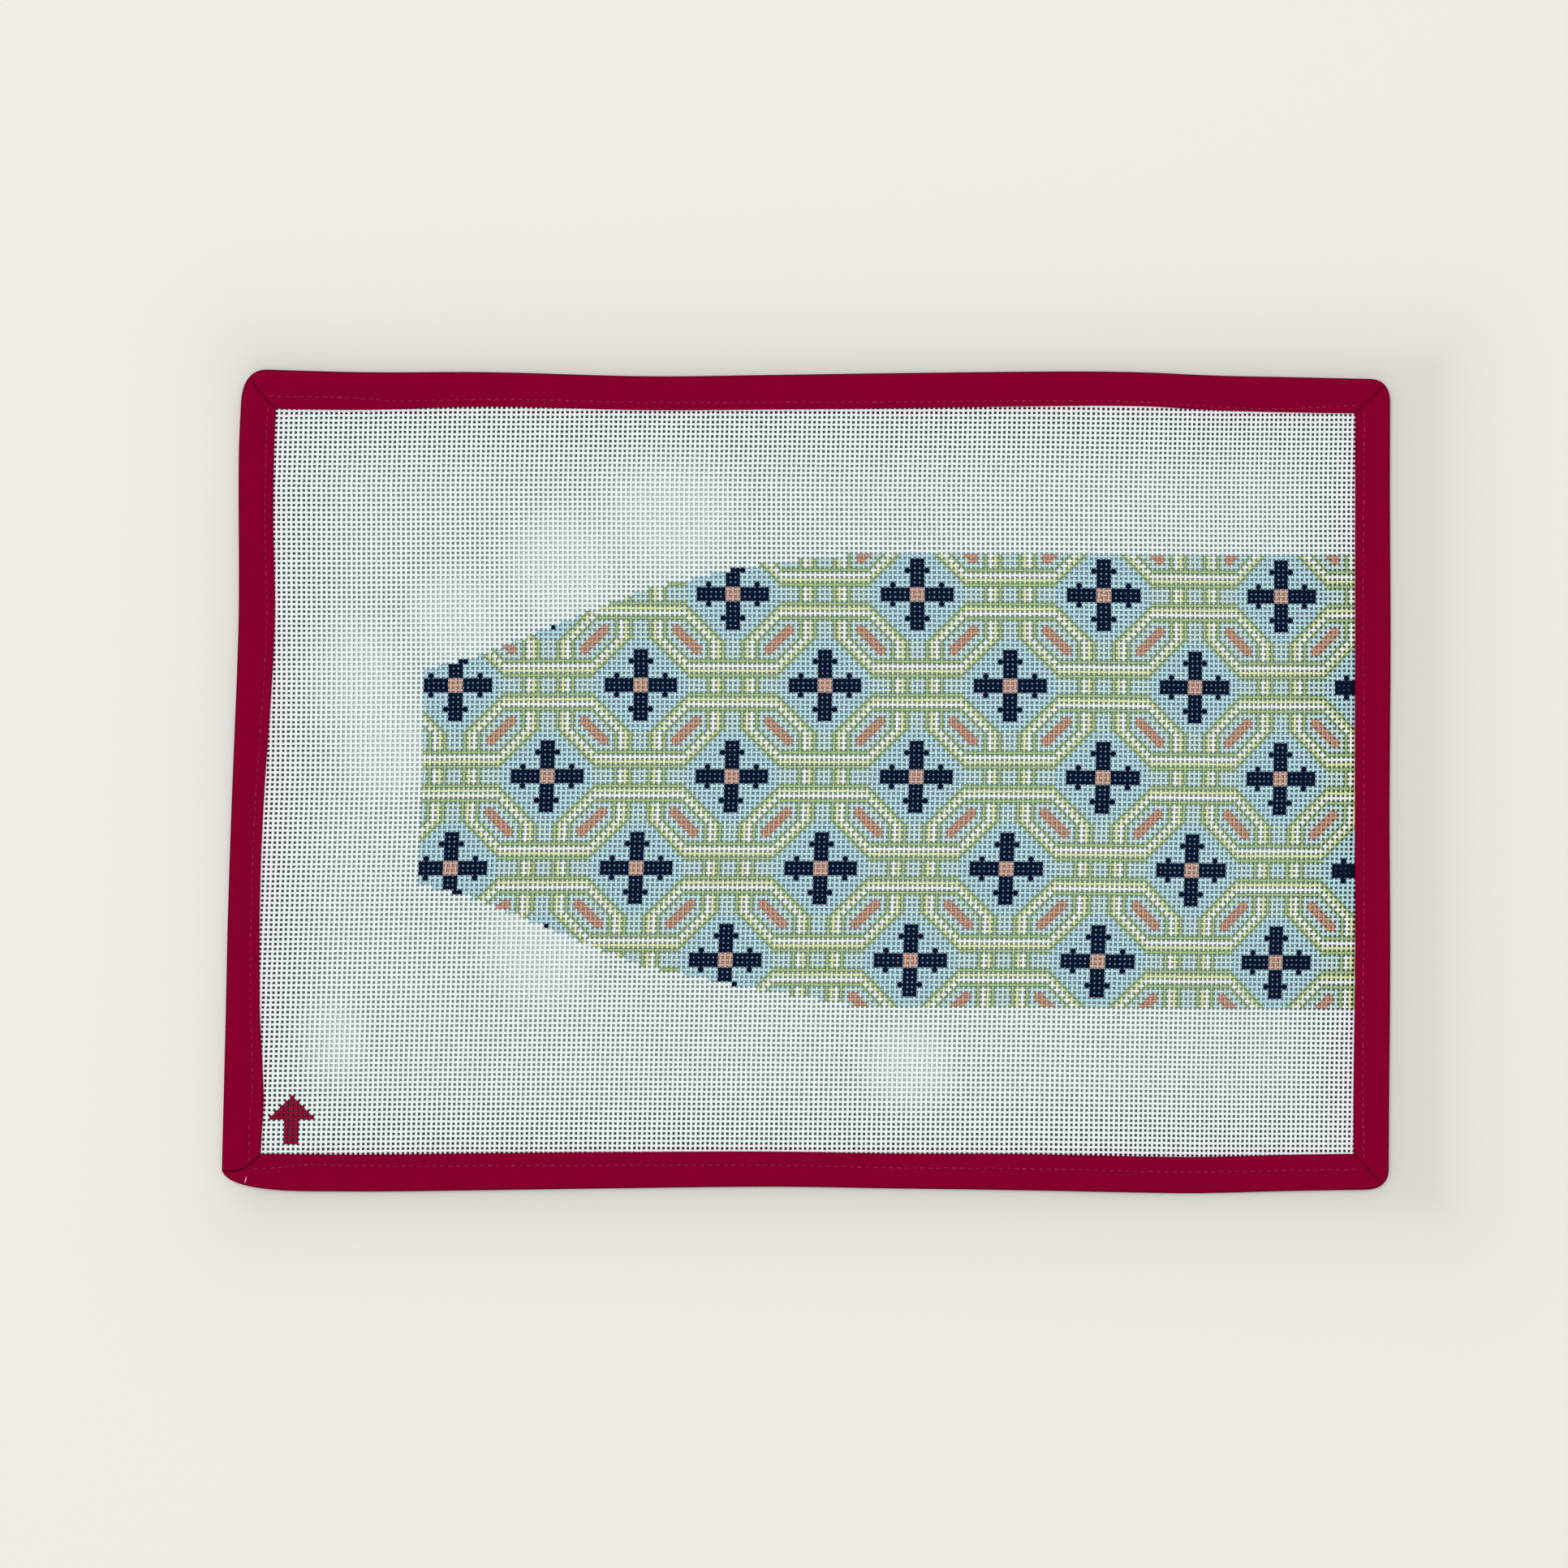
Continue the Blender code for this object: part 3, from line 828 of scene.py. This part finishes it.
def makeCanvas():
    firstColumn, lastColumn = weave["columns"]
    firstRow, lastRow = weave["rows"]
    split, splitRow = weave["splitColumn"], weave["splitRow"]
    sets = {
        "canvas_upright_threads_left": ((firstColumn, split), (firstRow, lastRow), True),
        "canvas_upright_threads_right": ((split + 1, lastColumn), (firstRow, lastRow), True),
        "canvas_level_threads_upper": ((firstColumn, lastColumn), (firstRow, splitRow), False),
        "canvas_level_threads_lower": ((firstColumn, lastColumn), (splitRow + 1, lastRow), False),
    }
    for name, (columns, rows, upright) in sets.items():
        threads = makeThreads(name, columns, rows, upright, uprightThread if upright else levelThread)
        finishPiece(threads, "canvas", "canvas")
        size, area = clothSize(columns, rows)
        print(name, "triangles:", sum(len(face.vertices) - 2 for face in threads.data.polygons))


makeCanvas()
print("canvas woven")


# Paint that fills the holes of the canvas where it was laid on thickly

# inset: how far a cell of film stays inside the middles of the threads around it, in threads
film = {"inset": 0.14, "height": 0.26 * mm, "thick": 0.12 * mm}


def makePaintFilm():
    column, row = columnGrid[:-1, :-1], rowGrid[:-1, :-1]
    filled = np.ones(column.shape, bool)
    for right, down in ((0, 0), (1, 0), (0, 1), (1, 1)):
        masks = chartMasks(column + right * 1.0, row + down * 1.0)
        covered = np.maximum(masks["salmon"], masks["pink"])
        filled &= (covered > 0.5) & (insideBand(column + right * 1.0, row + down * 1.0) > 0.5)
        filled &= clothMask[right : right + column.shape[0], down : down + column.shape[1]]
    column, row = column[filled], row[filled]
    near, far = film["inset"], 1 - film["inset"]
    corners = [(near, far), (far, far), (far, near), (near, near)]
    points, counts = [], []
    for right, down in corners:
        x, y = threadPlace(column + right, row + down)
        points.append(np.stack([x, y, clothHeight(x, y) + film["height"]], 1))
        counts.append(np.stack([column + right, row + down], 1))
    points = np.stack(points, 1).reshape(-1, 3)
    counts = np.stack(counts, 1).reshape(-1, 2)
    faces = np.arange(len(points)).reshape(-1, 4)
    piece = makePiece("paint_in_holes", points, faces, levelThread)
    addUvMap(piece, "threads", counts)
    addTopMap(piece)
    thickness = piece.modifiers.new("thickness", "SOLIDIFY")
    thickness.thickness = film["thick"]
    thickness.offset = -1
    applyModifiers(piece)
    finishPiece(piece, "canvas")
    print("paint film cells:", len(faces))


makePaintFilm()


# The binding tape

tape = {
    "step": 0.72 * mm,  # between sections along a strip
    "thick": 0.40 * mm,
    "foldRadius": 1.6 * mm,
    "foldSteps": 8,
    "freeEdgeHeight": 2.66 * mm,
    "fan": 32.0 * mm,  # how far from a mitre the sections turn towards it
    "creaseRound": 0.9 * mm,
    "overlap": 0.22 * mm,  # how far the strips run on past their solids, to close the mitres
    "stitchSpacing": 2.3 * mm,
    "stitchDip": 0.22 * mm,
    "stitchDipHalf": 0.7 * mm,
    "stitchPull": (0.6, 0.4),  # the steady and the changing share of the dip, from stitch to stitch
    "swell": 0.07 * mm,
    "roughness": 0.9,
    "gloss": 0.02,
    "ribSpacing": 0.42 * mm,
    "cordSpacing": 0.36 * mm,
    "weaveDepth": 0.5,  # shares of the weave and of the fuzz in the bumps, and in the pale colour
    "weavePale": 0.08,
    "fuzzScale": 2600.0,
    "fuzzDepth": 0.6,
    "fuzzPale": 0.15,
    "patchScale": 70.0,
    "patchShare": 0.5,
    "bumpDepth": 0.05 * mm,
    "bumpStrength": 0.5,
    "colour": paint(134, 0, 45),
    "deepColour": paint(120, 0, 39),
    "paleColour": paint(142, 1, 50),
    "paintedFoldShade": paint(84, 0, 26),  # painted shade, where the fold turns away from the light
    "foldFacing": (0.1, 0.85),  # how squarely it faces up where that begins and ends
}

# The slow swells of the tape's top: their length along the strip, their start, how they lean across it, and
# their strength
swells = [(7.1, 0.0, 0.4, 1.0), (3.3, 1.7, -0.3, 0.6), (17.0, 0.6, 0.0, 1.0)]

# Where the tape has rows of points, as shares of the way: under the canvas, from the fold to the seam, and
# from the seam to the free edge
tapeShares = {
    "under": (1.0, 0.85, 0.5),
    "toSeam": (0.12, 0.3, 0.5, 0.7, 0.84, 0.93),
    "pastSeam": (0.0, 0.2, 0.45, 0.75, 1.0),
}

# What differs from strip to strip, in millimetres. seam: how far the stitches run from the tape's inner
# edge. under: how far the tape's underside shows beyond its top. drop: how deep the tape rolls into the
# crease at each end. bow: how far each crease bends.
seams = {
    "binding_upper": {
        "along": [-165, -152, -139, -126, -119, -35, 60, 129, 140, 157, 172],
        "seam": [4.0, 3.9, 3.6, 2.9, 2.2, 2.2, 1.6, 0.8, 1.0, 1.9, 2.4],
        "under": [0.3, 0.6, 1.0, 1.3, 1.4, 1.4, 1.4, 1.2, 1.3, 1.2, 0.4],
        "drop": (0.3, 0.3),
        "bow": (-0.4, 0.0),
    },
    "binding_lower": {
        "along": [-172, -155, -118, -60, 0, 60, 120, 158, 172],
        "seam": [2.6, 2.8, 3.4, 3.8, 4.0, 4.2, 4.4, 4.5, 4.5],
        "under": [0.4, 0.6, 0.9, 1.1, 1.2, 1.3, 1.4, 1.1, 0.4],
        "drop": (0.0, 0.3),
        "bow": (-2.1, 0.0),
    },
    "binding_left": {
        "along": [-116, -111, -99, -85, -20, 40, 100, 108, 115],
        "seam": [4.3, 4.3, 4.2, 2.9, 2.4, 2.3, 2.3, 2.1, 2.0],
        "under": [0.4, 1.0, 1.2, 1.1, 1.0, 1.0, 1.1, 0.9, 0.3],
        "drop": (0.5, 0.3),
        "bow": (-2.1, -0.4),
    },
    "binding_right": {
        "along": [-116, -60, 0, 60, 116],
        "seam": [3.0, 2.4, 2.6, 2.3, 2.8],
        "under": [0.4, 1.2, 1.0, 1.3, 0.4],
        "drop": (0.3, 0.3),
        "bow": (0.0, 0.0),
    },
}


# A strip's fine sections: outer and inner points, the distance run along it, and the tables' values there
def fineSections(stripName):
    strip, seam = strips[stripName], seams[stripName]
    axis, outer, inner = strip["axis"], strip["outer"], strip["inner"]
    run = np.concatenate([[0], np.cumsum(np.hypot(*np.diff(outer, axis=0).T))])
    at = np.linspace(0, run[-1], round(run[-1] / tape["step"]) + 1)
    fine = {"outer": np.stack([smoothRead(run, outer[:, k], at) for k in (0, 1)], 1)}
    along = fine["outer"][:, axis].copy()
    for end, far in ((0, along - along[0]), (-1, along[-1] - along)):
        along += (inner[end, axis] - outer[end, axis]) * (1 - eased(far / tape["fan"]))
    fine["inner"] = np.stack([smoothRead(inner[:, axis], inner[:, k], along) for k in (0, 1)], 1)
    middle = (fine["outer"] + fine["inner"]) / 2
    at = np.concatenate([[0], np.cumsum(np.hypot(*np.diff(middle, axis=0).T))])
    along = middle[:, axis]
    fine["run"] = at
    fine["seam"] = smoothRead(seam["along"], seam["seam"], along / mm) * mm
    fine["under"] = smoothRead(seam["along"], seam["under"], along / mm) * mm
    fine["toEnds"] = (at, at[-1] - at)
    inward = fine["inner"] - fine["outer"]
    fine["width"] = np.hypot(*inward.T)
    fine["inward"] = inward / fine["width"][:, None]
    for end, neighbour in ((0, 1), (-1, -2)):
        onward = middle[end] - middle[neighbour]
        onward *= tape["overlap"] / np.hypot(*onward)
        square = onward - fine["inward"][end] * onward.dot(fine["inward"][end])
        fine["outer"][end] += square
    near = [1 - eased(distance / tape["fan"]) for distance in fine["toEnds"]]
    fine["bow"] = sum(share * bow * mm for share, bow in zip(near, seam["bow"]))
    fine["seam"] = fine["seam"] / np.abs(fine["inward"][:, 1 - axis])
    return fine


# The height of the tape's top at a distance inward from its fold, at every section
def topHeight(stripName, fine, inward):
    top = 2 * tape["foldRadius"]
    share = (inward - tape["foldRadius"]) / (fine["width"] - tape["foldRadius"])
    height = top - (top - tape["freeEdgeHeight"]) * eased(share)
    fromSeam = (inward - (fine["width"] - fine["seam"])) / tape["stitchDipHalf"]
    steady, varied = tape["stitchPull"]
    pulled = steady - varied * np.cos(2 * pi * fine["run"] / tape["stitchSpacing"])
    height = height - tape["stitchDip"] * pulled * np.exp(-(fromSeam**2))
    run, across = fine["run"] / mm, inward / mm
    wave = sum(np.sin(run / length + start + across * lean) * rise for length, start, lean, rise in swells)
    height = height + tape["swell"] * wave * share * (1 - share) * 2
    for distance, drop in zip(fine["toEnds"], seams[stripName]["drop"]):
        roll = 1 - np.clip(distance / tape["creaseRound"], 0, 1)
        height = height - drop * mm * roll**2
    return height


# Points over the tape: from the edge of its underside, round the fold, to the edge of its top
def tapeRows(stripName, fine):
    radius, width = tape["foldRadius"], fine["width"]
    level = 0 * width
    roundTop = topHeight(stripName, fine, radius + level) - 2 * radius
    rows = []
    for share in tapeShares["under"]:
        rows.append((radius + (width + fine["under"] - radius) * share, level))
    for i in range(tape["foldSteps"] + 1):
        turn = -pi / 2 + pi * i / tape["foldSteps"]
        height = radius + radius * np.sin(turn) + level
        height = height + roundTop * (height / (2 * radius))
        rows.append((radius - radius * np.cos(turn) + level, height))
    seamPlace = width - fine["seam"]
    inwards = [radius + (seamPlace - radius) * share for share in tapeShares["toSeam"]]
    inwards += [seamPlace + fine["seam"] * share for share in tapeShares["pastSeam"]]
    return rows + [(inward, topHeight(stripName, fine, inward)) for inward in inwards]


# The place in plan of a distance inward from the fold, at every section, with the bend of the creases
def spotOn(fine, inward):
    share = (inward / fine["width"])[:, None]
    square = np.stack([-fine["inward"][:, 1], fine["inward"][:, 0]], 1)
    bow = 4 * fine["bow"][:, None] * np.clip(share * (1 - share), 0, None)
    return fine["outer"] + fine["inward"] * inward[:, None] + square * bow


def tapeFinish():
    finish = Finish("crimson cotton tape", tape["roughness"], tape["gloss"])
    along, across = finish.uvPlace("tape")
    place = finish.objectPlace()
    ribs = along.maths("SINE", along * (2 * pi / tape["ribSpacing"]))
    cords = across.maths("SINE", across * (2 * pi / tape["cordSpacing"]))
    woven = ribs * cords
    fuzz = finish.noise(place, tape["fuzzScale"], 3.0)
    patch = finish.noise(place, tape["patchScale"], 2.0)
    colour = finish.mixed(patch * tape["patchShare"], tape["colour"], tape["deepColour"])
    pale = (woven + 1) * tape["weavePale"] + fuzz * tape["fuzzPale"]
    colour = finish.mixed(pale, colour, tape["paleColour"])
    # Painted shade on the fold, where it faces away from above
    colour = finish.mixed(finish.facingUp(*tape["foldFacing"]), tape["paintedFoldShade"], colour)
    height = woven * tape["weaveDepth"] + fuzz * tape["fuzzDepth"]
    normal = finish.bump(height, tape["bumpDepth"], tape["bumpStrength"])
    return finish.feed(Base_Color=colour, Normal=normal)


crimsonTape = tapeFinish()


def makeBinding(stripName):
    fine = fineSections(stripName)
    strip = strips[stripName]
    rows = tapeRows(stripName, fine)
    points = np.stack([np.column_stack([spotOn(fine, inward), height]) for inward, height in rows], 1)
    sections, size = points.shape[:2]
    number = np.arange(sections * size).reshape(sections, size)
    corners = [number[:-1, :-1], number[1:, :-1], number[1:, 1:], number[:-1, 1:]]
    faces = np.stack(corners, -1).reshape(-1, 4)
    lengthwise = 1 if strip["axis"] == 0 else -1
    if lengthwise * strip["outward"] > 0:
        faces = faces[:, ::-1]
    steps = np.linalg.norm(np.diff(points, axis=1), axis=2)
    arc = np.concatenate([np.zeros((sections, 1)), np.cumsum(steps, 1)], 1)
    run = np.repeat(fine["run"][:, None], size, 1)
    name = stripName.replace("binding", "tape")
    piece = makePiece(name, points.reshape(-1, 3), faces, crimsonTape)
    addUvMap(piece, "tape", np.stack([run, arc], -1).reshape(-1, 2))
    addUvMap(piece, "OFBake", np.stack([run / run.max(), arc / arc.max()], -1).reshape(-1, 2))
    thickness = piece.modifiers.new("thickness", "SOLIDIFY")
    thickness.thickness = tape["thick"]
    thickness.offset = -1
    applyModifiers(piece)
    finishPiece(piece, "binding", stripName)
    cut = (float(2 * fine["width"].mean() + (pi - 2) * tape["foldRadius"]), float(fine["run"][-1]))
    strip["fine"] = fine
    print(name, "flat size:", [round(side / mm, 1) for side in cut])


for stripName in strips:
    makeBinding(stripName)
print("edges bound")


# The stitches that hold the tape: short lengths of thread on its top, in a row along the seam

stitch = {
    "length": 1.45 * mm,
    "width": 0.36 * mm,
    "height": 0.22 * mm,
    "sink": 0.05 * mm,
    "wander": 0.10 * mm,
    "turn": 0.08,
    "endGap": 0.7 * mm,
    "ahead": 0.5 * mm,  # how far on the seam is read for a stitch's direction
    "roughness": 0.6,
    "colour": paint(142, 12, 58),
    "paleColour": paint(176, 56, 96),
    "shadeScale": 260.0,
    "paleFrom": (0.5, 0.75),  # where the shade begins to turn pale, and where it is palest
    "paleMost": 0.8,
    "plyScale": 5200.0,
    "plyDepth": 0.04 * mm,
    "plyStrength": 0.5,
}

# One stitch in paler thread that crosses the fold by the lower left corner
paleStitch = {
    "place": (-163.8 * mm, -116.5 * mm, 3.18 * mm),
    "length": 1.9 * mm,
    "widthShare": 0.9,  # of the other stitches' width
    "turn": 1.36,
    "colour": paint(236, 196, 206),
    "deepColour": paint(226, 170, 186),
    "shadeScale": 900.0,
}


def stitchFinish():
    finish = Finish("crimson sewing thread", stitch["roughness"])
    place = finish.objectPlace()
    shade = finish.noise(place, stitch["shadeScale"], 1.0)
    begins, ends = stitch["paleFrom"]
    limits = {0: shade, 1: begins, 2: ends, 3: 0.0, 4: stitch["paleMost"]}
    pale = finish.node("ShaderNodeMapRange", {}, limits)[0]
    colour = finish.mixed(pale, stitch["colour"], stitch["paleColour"])
    plies = finish.noise(place, stitch["plyScale"], 1.0)
    normal = finish.bump(plies, stitch["plyDepth"], stitch["plyStrength"])
    return finish.feed(Base_Color=colour, Normal=normal)


crimsonThread = stitchFinish()


# One stitch, lying along X, as a rounded bead of a few faces
def stitchPattern():
    bpy.ops.object.select_all(action="DESELECT")
    bpy.ops.mesh.primitive_uv_sphere_add(segments=10, ring_count=6, radius=0.5, rotation=(0, pi / 2, 0))
    bead = bpy.context.object
    bead.scale = (stitch["height"], stitch["width"], stitch["length"])
    bpy.ops.object.transform_apply(location=True, rotation=True, scale=True)
    bead.data.polygons.foreach_set("use_smooth", [True] * len(bead.data.polygons))
    return bead


# A row of stitches along a strip's seam, each a little out of line
def makeStitches(stripName, pattern):
    fine = strips[stripName]["fine"]
    inward = fine["width"] - fine["seam"]
    line = np.column_stack([spotOn(fine, inward), topHeight(stripName, fine, inward)])
    run = fine["run"]
    count = int((run[-1] - 2 * stitch["endGap"]) / tape["stitchSpacing"])
    luck = np.random.default_rng(len(stripName))
    made = []
    for i in range(count):
        at = stitch["endGap"] + (i + 0.5) * tape["stitchSpacing"]
        spot = np.array([np.interp(at, run, line[:, k]) for k in range(3)])
        ahead = np.array([np.interp(at + stitch["ahead"], run, line[:, k]) for k in range(3)]) - spot
        bead = pattern.copy()
        bead.data = pattern.data.copy()
        bpy.context.scene.collection.objects.link(bead)
        spot[:2] += luck.uniform(-1, 1, 2) * stitch["wander"]
        bead.location = spot + np.array([0, 0, stitch["height"] / 2 - stitch["sink"]])
        turn = luck.uniform(-stitch["turn"], stitch["turn"])
        bead.rotation_euler = (0, 0, np.arctan2(ahead[1], ahead[0]) + turn)
        made.append(bead)
    pick(*made)
    bpy.ops.object.join()
    row = bpy.context.object
    bpy.ops.object.transform_apply(location=True, rotation=True, scale=True)
    row.name = row.data.name = stripName.replace("binding", "stitches")
    row.data.materials.append(crimsonThread)
    finishPiece(row, "binding")
    print(row.name, "stitches:", count)


def makePaleStitch(pattern):
    pattern.scale = (paleStitch["length"] / stitch["length"], paleStitch["widthShare"], 1.0)
    pattern.rotation_euler = (0, 0, paleStitch["turn"])
    pattern.location = paleStitch["place"]
    pick(pattern)
    bpy.ops.object.transform_apply(location=True, rotation=True, scale=True)
    pattern.name = pattern.data.name = "pale_stitch"
    finish = Finish("pale sewing thread", stitch["roughness"])
    shade = finish.noise(finish.objectPlace(), paleStitch["shadeScale"], 1.0)
    colour = finish.mixed(shade, paleStitch["colour"], paleStitch["deepColour"])
    pattern.data.materials.append(finish.feed(Base_Color=colour))
    finishPiece(pattern, "binding")


bead = stitchPattern()
for stripName in strips:
    makeStitches(stripName, bead)
makePaleStitch(bead)
print("stitches sewn")
